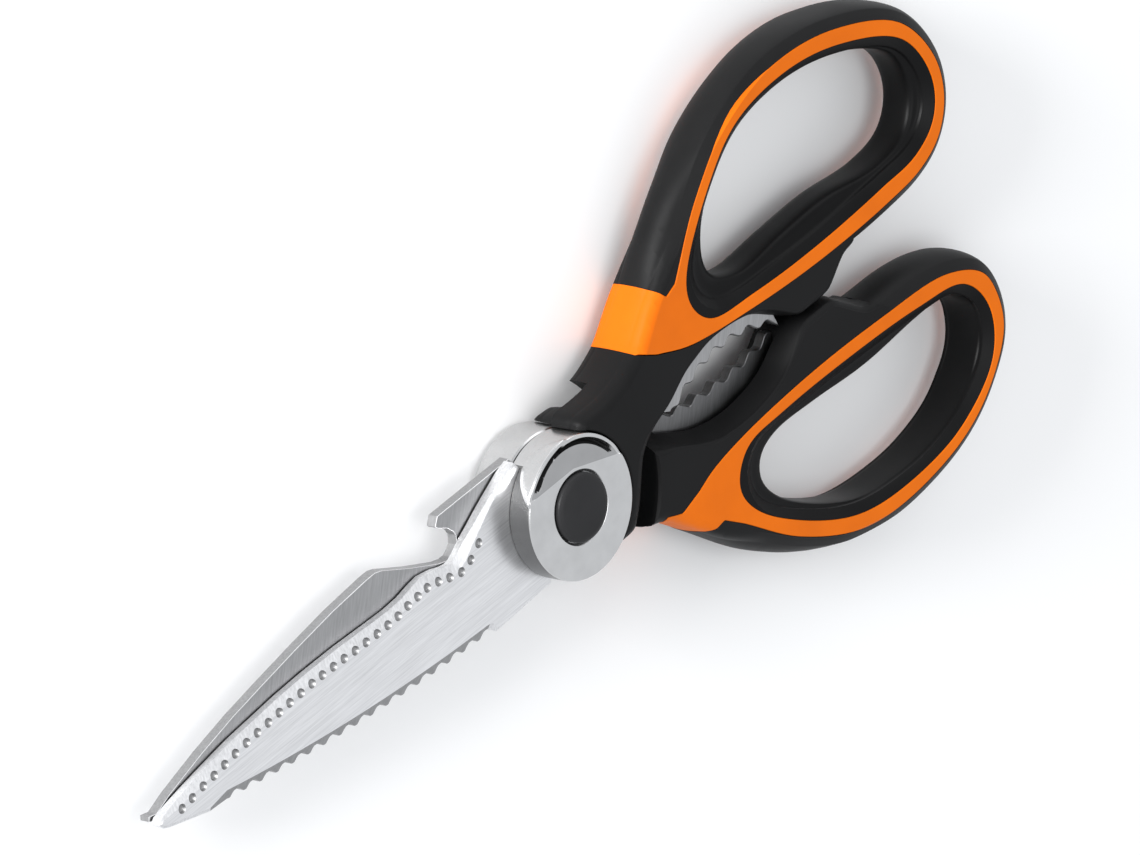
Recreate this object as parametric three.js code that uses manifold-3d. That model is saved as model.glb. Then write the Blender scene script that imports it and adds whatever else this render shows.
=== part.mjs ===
// Poultry shears lying flat: two pivoting halves with ring handles, a nutcracker gap and a bottle-opener notch.
// Millimetres. +X from the pivot to the handles, +Y to the larger ring, +Z out of the front face.
// Each half is drawn in its own frame with its blade and collar above the mid-plane. The back half is then
// turned half a turn about X, so the two halves lie face to face at the mid-plane.

import * as THREE from 'three';
import { mergeVertices } from 'three/addons/utils/BufferGeometryUtils.js';
import Module from 'manifold-3d';

const wasm = await Module();
wasm.setup();

// ---------------------------------------------------------------- driving dimensions
const MID_PLANE = 8.5; // height of the plane between the blades above the surface that the back cap stands on
const GAP = 0.3; // clearance between pieces that meet
const LAP = GAP / 2; // each half stops this far from the mid-plane
const CUTTER_DEPTH = 12; // half height of a tool that cuts right through

const BLADE_THICKNESS = 2.5;
const PIVOT_EYE_RADIUS = 12.2;
const SCREW_RADIUS = 3;
const SCREW_BORE_RADIUS = SCREW_RADIUS + GAP;

const BOSS_RADIUS = 13.7;
const BOSS_FACE = 7.5;
const BOSS_FLOOR = BLADE_THICKNESS + GAP;
const BOSS_RIM = 1.2;
const CAP_RADIUS = 7;
const CAP_SEAT = 6.5;
const CAP_EDGE = 0.5;

const HEAD_RADIUS = 5.6;
const HEAD_SEAT = 3.9;
const HEAD_TOP = 6.2;
const NUT_SEAT = 4.2;
const DRIVER_SLOT = 1.2;

const WASHER_RADIUS = 8;
const WASHER_HALF = 0.25;
const SPRING_RADIUS = 5;
const SPRING_THICKNESS = 0.4;

const COLLAR_RADIUS = BOSS_RADIUS + 0.45;
const COLLAR_FACE = 7.2;
const LAP_RADIUS = 22.8; // inside this circle a handle keeps to its own side of the mid-plane
const HANDLE_HALF = 6;
const BEVEL_WIDTH = 1.7;
const BEVEL_HEIGHT = 1.4;
const SKIN = 1.5; // depth of the soft skins over the rigid core
const CORE_HALF = HANDLE_HALF - BEVEL_HEIGHT;
const CURVE_STEPS = 3; // straight steps in each span of a smooth outline

const SCALER_FIRST_X = -96.5;
const SCALER_LAST_X = -28.3;
const SCALER_TEETH = 17;
const GULLET_DEPTH = 1.1;

const GRIP_INNER_END = 83; // where the outer grip stops beside the handle stops

// ---------------------------------------------------------------- solids
function solidOf(geometry) {
  const bare = geometry.clone();
  bare.deleteAttribute('normal');
  bare.deleteAttribute('uv');
  const merged = mergeVertices(bare, 1e-4);
  return new wasm.Manifold(new wasm.Mesh({
    numProp: 3,
    vertProperties: new Float32Array(merged.attributes.position.array),
    triVerts: new Uint32Array(merged.index.array),
  }));
}

function geometryOf(solid) {
  const mesh = solid.getMesh();
  const geometry = new THREE.BufferGeometry();
  geometry.setAttribute('position', new THREE.BufferAttribute(new Float32Array(mesh.vertProperties), 3));
  geometry.setIndex(new THREE.BufferAttribute(new Uint32Array(mesh.triVerts), 1));
  geometry.computeVertexNormals();
  return geometry;
}

function shapeFrom(points) {
  return new THREE.Shape(points.map(([x, y]) => new THREE.Vector2(x, y)));
}

// A prism of a closed outline between two heights.
function prism(shape, low, high) {
  const geometry = new THREE.ExtrudeGeometry(shape, {
    depth: high - low, bevelEnabled: false, curveSegments: CURVE_STEPS,
  });
  return solidOf(geometry.translate(0, 0, low));
}

// A slab whose long edges are bevelled on both faces. The outline is its widest section.
function bevelledSlab(shape, low, high, width, height) {
  const geometry = new THREE.ExtrudeGeometry(shape, {
    depth: high - low - 2 * height, bevelEnabled: true, bevelThickness: height, bevelSize: width,
    bevelOffset: -width, bevelSegments: 1, curveSegments: CURVE_STEPS,
  });
  return solidOf(geometry.translate(0, 0, low + height));
}

// A solid of revolution about the pivot axis, from [radius, height] points.
function turned(profile, segments = 48) {
  const points = profile.map(([radius, height]) => new THREE.Vector2(radius, height));
  const lathe = new THREE.LatheGeometry(points, segments);
  return solidOf(lathe.rotateX(Math.PI / 2));
}

function disc(radius, low, high, segments = 48) {
  return turned([[0, low], [radius, low], [radius, high], [0, high]], segments);
}

function ring(inner, outer, low, high, segments = 48) {
  return turned([[inner, low], [outer, low], [outer, high], [inner, high], [inner, low]], segments);
}

// Points of a closed smooth curve through the given ones.
function smoothLoop(points) {
  const curve = new THREE.CatmullRomCurve3(points.map(([x, y]) => new THREE.Vector3(x, y, 0)), true, 'centripetal');
  return curve.getPoints(points.length * CURVE_STEPS).slice(0, -1).map((point) => [point.x, point.y]);
}

// Points of an open smooth curve through the given ones.
function smoothRun(points) {
  const curve = new THREE.CatmullRomCurve3(points.map(([x, y]) => new THREE.Vector3(x, y, 0)), false, 'centripetal');
  return curve.getPoints((points.length - 1) * CURVE_STEPS).map((point) => [point.x, point.y]);
}

function signedArea(points) {
  return points.reduce((sum, [x, y], i) => {
    const [nextX, nextY] = points[(i + 1) % points.length];
    return sum + (x * nextY - nextX * y) / 2;
  }, 0);
}

// A closed outline moved outwards by a distance, or inwards by a negative one.
function grown(points, distance) {
  const turn = Math.sign(signedArea(points));
  const count = points.length;
  return points.map(([x, y], i) => {
    const before = points[(i + count - 1) % count];
    const after = points[(i + 1) % count];
    const into = new THREE.Vector2(x - before[0], y - before[1]).normalize();
    const out = new THREE.Vector2(after[0] - x, after[1] - y).normalize();
    const along = into.clone().add(out).normalize();
    const stretch = 1 / Math.max(0.5, along.dot(into));
    return [x + turn * along.y * distance * stretch, y - turn * along.x * distance * stretch];
  });
}

// ---------------------------------------------------------------- outlines shared by both halves
// Upper side of the nutcracker gap, from the neck to the handle stop.
const NUTCRACKER_ARC = smoothRun([[20, -1.2], [28.2, 3.6], [37, 7.9], [47, 9.1], [57.5, 6.9], [66.3, 0.4]]);
const STOP_CORNER = [75.3, 0.4];
const NECK_TOP = [[19.5, 16.2], [14.5, 15.1]];
const NECK_INSIDE = [[13, 6]];

// The collar hugs the boss from its lip, round the handle side, to its heel.
const COLLAR_OUTLINE = [
  [5, 13], [6, 15.1], [14.5, 15.1], [19.5, 16.2], [23.5, 17.3], [24.6, 1.7], [20.2, -1],
  [17.5, -3.9], [14.5, -8.3], [12.5, -11.2], [6.7, -11.6],
];

const FRONT_HANDLE = {
  ring: [
    [81.6, 5.5], [86, 5.6], [95.7, 5.7], [104.2, 6.7], [110.6, 9], [115.8, 14], [118.6, 20.2], [118.8, 27.5],
    [114.6, 37], [106.3, 43.9], [96, 48.6], [80.5, 51.2], [66, 48.6], [50, 40.7], [40, 32.8], [34, 26.6], [25, 18.6],
  ],
  hole: [
    [50.4, 22.6], [51, 19], [56.8, 15.9], [70, 16.5], [83, 16.7], [97, 14.9], [105.5, 16.8], [109.8, 23.5],
    [108.6, 31.5], [101.5, 37.3], [90, 42], [78, 43.6], [65.7, 40.4], [55.7, 34], [51.6, 28],
  ],
  trimOuter: [
    [29.8, 15.4], [38.1, 11.6], [54.8, 9.3], [74.8, 8], [94.8, 8.7], [104.8, 10], [111, 13.4], [114.9, 19.5],
    [115.3, 27.5], [109.8, 37.9], [94.8, 46.2], [79.8, 48.7], [64.8, 46.5], [49.8, 36.2], [39, 24.5],
  ],
  trimInner: [
    [42.2, 24.2], [41.1, 18.7], [44.8, 13.3], [54.8, 11.8], [74.8, 11], [94.8, 11.8], [104.8, 12.9], [111, 16.9],
    [113.4, 23.7], [109.8, 34.1], [94.8, 42.9], [79.8, 45.8], [64.8, 43.9], [54.8, 37.5],
  ],
  bandOutside: [[31.6, 28.6], [21.6, 21.6]],
  bandTip: [[36.1, 23.5], [35, 24.8]],
  bandNeck: [[25, 18.3]],
};

const BACK_HANDLE = {
  ring: [
    [82.6, 6.8], [86, 7.2], [95, 7.4], [103, 8.9], [109, 11.7], [113.6, 15.8], [116, 21.5], [115.9, 27], [113.4, 33.6],
    [108.2, 38.9], [101, 43.4], [92, 46.6], [79, 48.1], [68, 47], [54, 43.6], [40, 34.8], [30, 25.2], [22.5, 18],
  ],
  hole: [
    [46.4, 23.5], [48, 19.4], [53, 17.1], [64, 17], [79.5, 18.3], [95, 17.2], [102.5, 17.5], [107.4, 23],
    [106.2, 29.5], [98, 37.1], [88, 40.6], [79, 41.4], [68, 40], [55, 34], [48.5, 28.3],
  ],
  trimOuter: [
    [29.8, 15.1], [34.8, 13.3], [44.8, 11.6], [64.8, 10.4], [84.8, 10.8], [103.1, 12.5], [111.5, 17.4],
    [113.4, 22.6], [111.9, 29], [104.8, 37.2], [94.8, 42.6], [77.3, 45.7], [64.8, 44.3], [49.8, 37.2], [38.1, 27.2],
  ],
  trimInner: [
    [39.4, 20.3], [44, 14.3], [54.8, 13.1], [74.8, 13.1], [94.8, 14.3], [106.5, 16.8], [110.8, 24.3],
    [106.5, 32.6], [94.8, 40.1], [77.3, 42.6], [64.8, 41], [49.8, 33.5], [41.5, 26],
  ],
  bandOutside: [[23.8, 22.4], [18.6, 17.4]],
  bandTip: [[33.6, 23.7], [31.1, 24.1]],
  bandNeck: [[20.9, 15.4], [24.4, 16.6]],
};

// ---------------------------------------------------------------- blades
// Height of the scaler's tooth tips, an even curve along the spine.
function scalerLine(x) {
  const t = (x - SCALER_FIRST_X) / (SCALER_LAST_X - SCALER_FIRST_X);
  return -4.5 - 13.39 * t + 5.29 * t * t;
}

function scalerTeeth() {
  const pitch = (SCALER_LAST_X - SCALER_FIRST_X) / (SCALER_TEETH - 1);
  const points = [];
  for (let tooth = 0; tooth < SCALER_TEETH; tooth += 1) {
    const tip = SCALER_FIRST_X + tooth * pitch;
    const gullet = tip + pitch / 2;
    points.push([tip - pitch * 0.12, scalerLine(tip)], [tip + pitch * 0.12, scalerLine(tip)]);
    points.push([gullet - pitch * 0.2, scalerLine(gullet) + GULLET_DEPTH * 0.8]);
    points.push([gullet + pitch * 0.2, scalerLine(gullet) + GULLET_DEPTH * 0.8]);
  }
  return points;
}

const FRONT_BLADE = {
  outline: [
    [-115, 2], [-112.3, -0.9], [-102, -3.8], ...scalerTeeth(), [-19.5, -12.9], [-8, -12.3], [0, 0], [-8.5, 14.2],
    [-11, 13.9], [-14, 13.3], [-20, 10.4], [-25, 7], [-28, 5.6], [-30, 5.3], [-35, 6.5], [-40, 7.5],
    [-48, 6.6], [-60, 6.6], [-70, 7.1], [-85, 6.7], [-95, 5.6], [-105, 4.5], [-114.4, 3],
  ],
  bite: { middle: 48.5, tip: 3.9, sag: 55, pitch: 4.8, depth: 1.6, crest: 48.9 },
};

const BACK_BLADE = {
  outline: [
    [-114.3, -2.1], [-112.3, -1.6], [-107.9, -3.1], [-97.9, -5.6], [-87.9, -7.6], [-77.9, -9.1], [-67.9, -10.5],
    [-57.9, -11.7], [-47.9, -12.4], [-45.5, -12.4], [-37, -8.2], [-28.2, -4.4], [-25.7, -5], [-24.5, -6.6],
    [-24.6, -8.5], [-25.7, -9.9], [-28, -11.3], [-28.1, -12.3], [-27.2, -13.4], [-6.7, -13.3], [0, 0],
    [-8, 11.5], [-20, 9.5], [-60, 5.6], [-100, 1.6], [-112, 0.1], [-114.6, -1.2],
  ],
  bite: { middle: 49, tip: 2.4, sag: 130, pitch: 5.1, depth: 1.7, crest: 46.8 },
};

// Wavy nutcracker edge of a tang, from the stop end back to the neck.
function nutcrackerTeeth({ middle, tip, sag, pitch, depth, crest }) {
  const points = [];
  for (let x = 63.5; x > 31; x -= pitch / 6) {
    const wave = (1 - Math.cos(2 * Math.PI * (x - crest) / pitch)) / 2;
    points.push([x, tip - (x - middle) ** 2 / sag + depth * wave]);
  }
  return points;
}

function tangOutline(bite) {
  return [[6, 10], [20, 11.5], [34, 12], [62, 6.9], ...nutcrackerTeeth(bite), [24, 4.2], [19, 0.5], [6, -9]];
}

function bladeSolid(blade) {
  const plate = prism(shapeFrom(blade.outline), LAP, BLADE_THICKNESS);
  const tang = prism(shapeFrom(tangOutline(blade.bite)), LAP, BLADE_THICKNESS);
  const eye = disc(PIVOT_EYE_RADIUS, LAP, BLADE_THICKNESS);
  const bore = disc(SCREW_BORE_RADIUS, -CUTTER_DEPTH, CUTTER_DEPTH, 32);
  const washerSeat = disc(WASHER_RADIUS + GAP, -1, WASHER_HALF + GAP);
  return plate.add(tang).add(eye).subtract(bore).subtract(washerSeat);
}

// The room that a blade needs inside its boss and handle.
function bladeRoom(blade) {
  const plate = prism(shapeFrom(grown(blade.outline, GAP)), -1, BLADE_THICKNESS + GAP);
  const tang = prism(shapeFrom(grown(tangOutline(blade.bite), GAP)), -1, BLADE_THICKNESS + GAP);
  return plate.add(tang).add(disc(PIVOT_EYE_RADIUS + GAP, -1, BLADE_THICKNESS + GAP));
}

// ---------------------------------------------------------------- pivot
function bossSolid(blade) {
  const body = turned([
    [0, LAP], [BOSS_RADIUS, LAP], [BOSS_RADIUS, BOSS_FACE - 0.8], [BOSS_RADIUS - 0.8, BOSS_FACE], [0, BOSS_FACE],
  ], 64);
  const hollow = disc(BOSS_RADIUS - BOSS_RIM, -1, BOSS_FLOOR, 64);
  const capSeat = disc(CAP_RADIUS + GAP, CAP_SEAT, CUTTER_DEPTH);
  const headRoom = disc(HEAD_RADIUS + GAP, HEAD_SEAT - GAP, CUTTER_DEPTH);
  const bore = disc(SCREW_BORE_RADIUS, -1, CUTTER_DEPTH, 32);
  return body.subtract(hollow).subtract(capSeat).subtract(headRoom).subtract(bore).subtract(bladeRoom(blade));
}

function capSolid() {
  return turned([
    [0, CAP_SEAT + GAP], [CAP_RADIUS, CAP_SEAT + GAP], [CAP_RADIUS, MID_PLANE - CAP_EDGE],
    [CAP_RADIUS - CAP_EDGE, MID_PLANE], [0, MID_PLANE],
  ]);
}

function screwSolid() {
  const body = turned([
    [0, -HEAD_TOP], [SCREW_RADIUS, -HEAD_TOP], [SCREW_RADIUS, HEAD_SEAT], [HEAD_RADIUS, HEAD_SEAT],
    [HEAD_RADIUS, HEAD_TOP], [0, HEAD_TOP],
  ], 32);
  const slot = new THREE.BoxGeometry(HEAD_RADIUS * 3, DRIVER_SLOT, 2).translate(0, 0, HEAD_TOP);
  return body.subtract(solidOf(slot));
}

function nutSolid() {
  const hexagon = new THREE.CylinderGeometry(HEAD_RADIUS, HEAD_RADIUS, HEAD_TOP - NUT_SEAT, 6).rotateX(Math.PI / 2);
  const body = solidOf(hexagon.translate(0, 0, -(HEAD_TOP + NUT_SEAT) / 2));
  return body.subtract(disc(SCREW_BORE_RADIUS, -CUTTER_DEPTH, 0, 32));
}

// ---------------------------------------------------------------- handles
function handleOutline(handle) {
  return [...NUTCRACKER_ARC, STOP_CORNER, ...smoothRun(handle.ring), ...NECK_TOP, ...NECK_INSIDE];
}

function shapeWithHole(outer, hole) {
  const shape = shapeFrom(outer);
  shape.holes.push(new THREE.Path(hole.map(([x, y]) => new THREE.Vector2(x, y))));
  return shape;
}

// Removes what would foul the boss, and what would cross the mid-plane near the pivot.
function clearOfPivot(solid) {
  const bossRoom = disc(COLLAR_RADIUS, -CUTTER_DEPTH, CUTTER_DEPTH, 64);
  const lapRoom = disc(LAP_RADIUS, -CUTTER_DEPTH, LAP, 64);
  return solid.subtract(bossRoom).subtract(lapRoom);
}

function handlePieces(handle, blade) {
  const outline = handleOutline(handle);
  const hole = smoothLoop(handle.hole);
  const blank = clearOfPivot(bevelledSlab(
    shapeWithHole(outline, hole), -HANDLE_HALF, HANDLE_HALF, BEVEL_WIDTH, BEVEL_HEIGHT,
  ));
  const heart = prism(shapeWithHole(grown(outline, -SKIN), grown(hole, SKIN)), -CORE_HALF, CORE_HALF);
  const heartRoom = prism(
    shapeWithHole(grown(outline, GAP - SKIN), grown(hole, SKIN - GAP)), -CORE_HALF - GAP, CORE_HALF + GAP,
  );

  const trimOuter = [...handle.bandNeck, ...smoothRun(handle.trimOuter), ...handle.bandTip, ...handle.bandOutside];
  const trimInner = smoothLoop(handle.trimInner);
  const trimArea = prism(shapeFrom(trimOuter), -CUTTER_DEPTH, CUTTER_DEPTH);
  const trimRoom = prism(shapeFrom(grown(trimOuter, GAP)), -CUTTER_DEPTH, CUTTER_DEPTH);
  const linerArea = prism(shapeFrom(grown(trimInner, -GAP)), -CUTTER_DEPTH, CUTTER_DEPTH);
  const trimHole = prism(shapeFrom(trimInner), -CUTTER_DEPTH, CUTTER_DEPTH);

  // The neck side of the handle, where the rigid core shows: bounded by the band and by the grip's inner end.
  const neckSide = prism(shapeFrom([
    ...handle.bandOutside.slice(-1), [0, 30], [0, -30], [GRIP_INNER_END, -30], [GRIP_INNER_END, 9.5], [60, 9.5],
    [34, 16],
  ]), -CUTTER_DEPTH, CUTTER_DEPTH);
  const gripSide = prism(shapeFrom([
    handle.bandOutside[0], [38, 26], [60, 30], [60, 9.5], [GRIP_INNER_END + GAP, 9.5],
    [GRIP_INNER_END + GAP, -30], [140, -30], [140, 70], [0, 70],
  ]), -CUTTER_DEPTH, CUTTER_DEPTH);

  const collar = clearOfPivot(bevelledSlab(shapeFrom(COLLAR_OUTLINE), LAP, COLLAR_FACE, 0.6, 0.6));
  const core = blank.intersect(neckSide)
    .add(collar)
    .subtract(trimRoom)
    .add(clearOfPivot(heart))
    .subtract(bladeRoom(blade));

  return {
    core,
    trim: blank.intersect(trimArea).subtract(trimHole).subtract(heartRoom),
    grip: blank.intersect(gripSide).subtract(trimRoom).subtract(heartRoom),
    liner: blank.intersect(linerArea).subtract(heartRoom),
  };
}

// ---------------------------------------------------------------- materials
const FINISHES = {
  brushedSteel: { color: 0xc9cacb, roughness: 0.32, metalness: 1 },
  satinSteel: { color: 0xbfc0c2, roughness: 0.25, metalness: 1 },
  plainSteel: { color: 0x9a9b9d, roughness: 0.4, metalness: 1 },
  blackPlastic: { color: 0x1c1c1d, roughness: 0.45, metalness: 0 },
  blackRubber: { color: 0x262627, roughness: 0.6, metalness: 0 },
  orangeRubber: { color: 0xf2720c, roughness: 0.55, metalness: 0 },
};

function addPiece(group, name, solid, finish) {
  const mesh = new THREE.Mesh(geometryOf(solid), new THREE.MeshStandardMaterial(FINISHES[finish]));
  mesh.name = name;
  group.add(mesh);
}

// ---------------------------------------------------------------- assembly
function addHalf(group, side, handle, blade) {
  const pieces = handlePieces(handle, blade);
  addPiece(group, `${side}_blade`, bladeSolid(blade), 'brushedSteel');
  addPiece(group, `${side}_boss`, bossSolid(blade), 'satinSteel');
  addPiece(group, `${side}_cap`, capSolid(), 'blackPlastic');
  addPiece(group, `${side}_handle_core`, pieces.core, 'blackPlastic');
  addPiece(group, `${side}_orange_trim`, pieces.trim, 'orangeRubber');
  addPiece(group, `${side}_outer_grip`, pieces.grip, 'blackRubber');
  addPiece(group, `${side}_ring_liner`, pieces.liner, 'blackRubber');
}

const frontHalf = new THREE.Group();
addHalf(frontHalf, 'front', FRONT_HANDLE, FRONT_BLADE);

const backHalf = new THREE.Group();
addHalf(backHalf, 'back', BACK_HANDLE, BACK_BLADE);
backHalf.rotation.x = Math.PI;

const pivot = new THREE.Group();
addPiece(pivot, 'pivot_screw', screwSolid(), 'plainSteel');
addPiece(pivot, 'pivot_nut', nutSolid(), 'plainSteel');
addPiece(pivot, 'blade_washer', ring(SCREW_BORE_RADIUS, WASHER_RADIUS, -WASHER_HALF, WASHER_HALF), 'plainSteel');
addPiece(pivot, 'spring_washer', ring(
  SCREW_BORE_RADIUS, SPRING_RADIUS, -NUT_SEAT + 0.05, -NUT_SEAT + 0.05 + SPRING_THICKNESS / 2,
), 'plainSteel');

const shears = new THREE.Group();
shears.add(frontHalf, backHalf, pivot);
shears.position.z = MID_PLANE;
shears.updateMatrixWorld(true);

export default shears;
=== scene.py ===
import logging
from collections.abc import Callable, Iterable, Iterator
from contextlib import contextmanager
from dataclasses import dataclass, field
from enum import Enum, IntEnum
from math import atan2, cos, degrees, hypot, pi, radians, sin

import bmesh
import bpy
from bmesh.types import BMesh
from bpy.types import ID, Material, Node, NodeSocket, Object
from mathutils import Matrix, Vector
from mathutils.geometry import interpolate_bezier


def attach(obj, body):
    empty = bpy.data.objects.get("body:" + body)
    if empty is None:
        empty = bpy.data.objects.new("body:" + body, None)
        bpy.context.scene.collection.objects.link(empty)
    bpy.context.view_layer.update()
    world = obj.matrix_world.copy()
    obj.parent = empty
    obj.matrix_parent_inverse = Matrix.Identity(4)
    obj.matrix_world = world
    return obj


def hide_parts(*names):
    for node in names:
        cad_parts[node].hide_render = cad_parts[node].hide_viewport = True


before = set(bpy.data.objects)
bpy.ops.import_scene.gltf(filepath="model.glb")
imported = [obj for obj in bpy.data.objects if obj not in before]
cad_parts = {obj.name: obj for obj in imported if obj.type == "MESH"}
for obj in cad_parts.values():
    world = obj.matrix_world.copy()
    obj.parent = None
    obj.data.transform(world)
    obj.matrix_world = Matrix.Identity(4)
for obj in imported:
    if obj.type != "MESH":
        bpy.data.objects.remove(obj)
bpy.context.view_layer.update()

LOG = logging.getLogger("shears")

Point = tuple[float, float]
Loop = list[Point]
Triple = tuple[float, float, float]

MM = 0.001  # metres in a millimetre; the sizes below are millimetres
MID_PLANE = 8.5  # height of the plane between the halves
WELD = 1e-5  # points of a new mesh that are this near are one
PIECE_WELD = 2e-4  # the same for a finished piece
BLADE_WELD = 0.004  # the same for a blade after its cuts
SLIVER = 1e-4  # shortest edge that a cut or a finished piece keeps
NOISE_LOW, NOISE_HIGH = 0.3, 0.7  # between these lies nearly all of a noise
CUT = 12.0  # half height of a tool that cuts right through
THROUGH = [(0, -CUT), (0, CUT)]  # levels of such a tool
PLAY = 0.1  # room round a blade inside its boss and handle
HIDDEN_ROUNDING = 1.0  # how much rounder the large ring is underneath


# ---- names
class Side(Enum):
    """The two halves of the shears."""

    FRONT = "front"
    BACK = "back"

    @property
    def body(self) -> str:
        """Name of the CAD body that this half rides on."""
        return f"{self.value}_half"


class Carve(Enum):
    """What a tool does to a solid."""

    REMOVE = "DIFFERENCE"
    KEEP = "INTERSECT"
    JOIN = "UNION"


class BladeFinish(IntEnum):
    """A blade's finishes, in the order of its material slots; the last three are darker copies of the steel
    with painted shade.
    """

    FACE = 0
    GROUND = 1
    FACET_PAINTED_SHADE = 2
    INNER_PAINTED_SHADE = 3
    TANG_PAINTED_SHADE = 4


class BossFinish(IntEnum):
    """A boss's finishes, in the order of its material slots; all but the first are darker copies of the steel
    with painted shade.
    """

    SATIN = 0
    CRESCENT_PAINTED_SHADE = 1
    WALL_PAINTED_SHADE = 2
    GROOVE_PAINTED_SHADE = 3
    BARREL_PAINTED_SHADE = 4


# ---- outlines
def smooth_curve(points: Loop, closed: bool, steps: int = 8) -> Loop:
    """Points of a smooth curve through the given ones.

    Args:
        points: What the curve passes through.
        closed: Whether the curve returns to its start.
        steps: Straight steps in each span.

    Returns:
        The curve's points; a closed curve doesn't repeat its first.
    """
    nodes = [Vector((x, y, 0)) for x, y in points]
    if closed:
        spans = [[nodes[(i + k) % len(nodes)] for k in (-1, 0, 1, 2)] for i in range(len(nodes))]
    else:
        nodes = [2 * nodes[0] - nodes[1], *nodes, 2 * nodes[-1] - nodes[-2]]
        spans = [nodes[i:i + 4] for i in range(len(nodes) - 3)]
    curve: Loop = []
    for before, start, end, after in spans:
        sides = (start - before, end - start, after - end)
        first, middle, last = (max(side.length ** 0.5, 1e-3) for side in sides)
        across = (end - start) / middle
        leave = ((start - before) / first - (end - before) / (first + middle) + across) * middle
        arrive = (across - (after - start) / (middle + last) + (after - end) / last) * middle
        span = interpolate_bezier(start, start + leave / 3, end - arrive / 3, end, steps + 1)
        curve += [(p.x, p.y) for p in span[:-1]]
    if not closed:
        curve.append((nodes[-2].x, nodes[-2].y))
    return curve


def resampled(loop: Loop, spacing: float) -> Loop:
    """A closed outline's points at even distances.

    Args:
        loop: The outline.
        spacing: The distance wanted between points.

    Returns:
        The new points, which start where the outline does.
    """
    sides = [hypot(b[0] - a[0], b[1] - a[1]) for a, b in zip(loop, loop[1:] + loop[:1])]
    count = max(12, round(sum(sides) / spacing))
    step = sum(sides) / count
    points: Loop = []
    travelled, index = 0.0, 0
    for k in range(count):
        while index < len(loop) - 1 and travelled + sides[index] < k * step:
            travelled += sides[index]
            index += 1
        share = (k * step - travelled) / max(sides[index], 1e-9)
        a, b = loop[index], loop[(index + 1) % len(loop)]
        points.append((a[0] + (b[0] - a[0]) * share, a[1] + (b[1] - a[1]) * share))
    return points


def evened(values: list[float], passes: int) -> list[float]:
    """Values along a closed outline, averaged with their neighbours that many times."""
    for _ in range(passes):
        before, after = values[-1:] + values[:-1], values[1:] + values[:1]
        values = [(a + 2 * b + c) / 4 for a, b, c in zip(before, values, after)]
    return values


def faired(loop: Loop, passes: int) -> Loop:
    """A closed outline with its small waves averaged out."""
    return list(zip(evened([x for x, _ in loop], passes), evened([y for _, y in loop], passes)))


def grown(loop: Loop, distances: float | list[float]) -> Loop:
    """A closed outline moved outwards, or inwards by a negative distance.

    Args:
        loop: The outline, in either direction.
        distances: One distance, or one for each point.

    Returns:
        The moved outline.
    """
    area = sum(a[0] * b[1] - b[0] * a[1] for a, b in zip(loop, loop[1:] + loop[:1]))
    turn = 1 if area > 0 else -1
    if isinstance(distances, (int, float)):
        distances = [float(distances)] * len(loop)
    moved: Loop = []
    for before, here, after, distance in zip(loop[-1:] + loop[:-1], loop, loop[1:] + loop[:1], distances):
        into = Vector((here[0] - before[0], here[1] - before[1])).normalized()
        out = Vector((after[0] - here[0], after[1] - here[1])).normalized()
        along = (into + out).normalized()
        reach = turn * distance / max(0.5, along.dot(into))
        moved.append((here[0] + along.y * reach, here[1] - along.x * reach))
    return moved


def gap_to(point: Point, loop: Loop) -> float:
    """Shortest distance from a point to a closed outline."""
    best = float("inf")
    for a, b in zip(loop, loop[1:] + loop[:1]):
        side = (b[0] - a[0], b[1] - a[1])
        square = side[0] ** 2 + side[1] ** 2 or 1e-12
        share = ((point[0] - a[0]) * side[0] + (point[1] - a[1]) * side[1]) / square
        share = min(1.0, max(0.0, share))
        best = min(best, hypot(point[0] - a[0] - side[0] * share, point[1] - a[1] - side[1] * share))
    return best


def eased(value: float, low: float, high: float) -> float:
    """0 at low and 1 at high, with a smooth run between."""
    share = min(1.0, max(0.0, (value - low) / (high - low)))
    return share * share * (3 - 2 * share)


def humped(value: float, start: Point, end: Point) -> float:
    """1 in a middle range, with smooth runs up to it over start and down from it over end."""
    return eased(value, *start) * (1 - eased(value, *end))


def flat(points: Iterable[Triple]) -> Loop:
    """The (x, y) points of an outline whose points have a bevel too."""
    return [(x, y) for x, y, _ in points]


# ---- solids
def closed_mesh(bm: BMesh) -> BMesh:
    """Merges doubles, caps open ends and points every face outwards."""
    bmesh.ops.remove_doubles(bm, verts=bm.verts, dist=WELD)
    bmesh.ops.holes_fill(bm, edges=bm.edges, sides=0)
    bmesh.ops.recalc_face_normals(bm, faces=bm.faces)
    return bm


def placed(name: str, data: ID) -> Object:
    """A new object in the scene."""
    thing = bpy.data.objects.new(name, data)
    bpy.context.scene.collection.objects.link(thing)
    return thing


def scored(bm: BMesh, point: Triple, normal: Triple) -> None:
    """Draws a line across all faces where a plane meets them."""
    geometry = bm.verts[:] + bm.edges[:] + bm.faces[:]
    bmesh.ops.bisect_plane(bm, geom=geometry, dist=SLIVER, plane_co=point, plane_no=normal)


def lofted(rings: list[tuple[Loop, list[float]]]) -> BMesh:
    """A capped skin through outlines at rising heights.

    Args:
        rings: Outlines with the same number of points, each with its points' heights.

    Returns:
        The closed mesh.
    """
    count, rows = len(rings[0][0]), len(rings) - 1
    bm = bmesh.new()
    bmesh.ops.create_grid(bm, x_segments=count, y_segments=rows, size=0.5)
    for vert in bm.verts:
        column = round((vert.co.x + 0.5) * count) % count
        outline, heights = rings[round((vert.co.y + 0.5) * rows)]
        vert.co = (*outline[column], heights[column])
    return closed_mesh(bm)


def prism(loop: Loop, levels: list[Point]) -> BMesh:
    """A lofted prism of one outline.

    Args:
        loop: The outline.
        levels: (growth, height) for each level, from the lowest.

    Returns:
        The closed mesh.
    """
    return lofted([(grown(loop, growth), [height] * len(loop)) for growth, height in levels])


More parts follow.
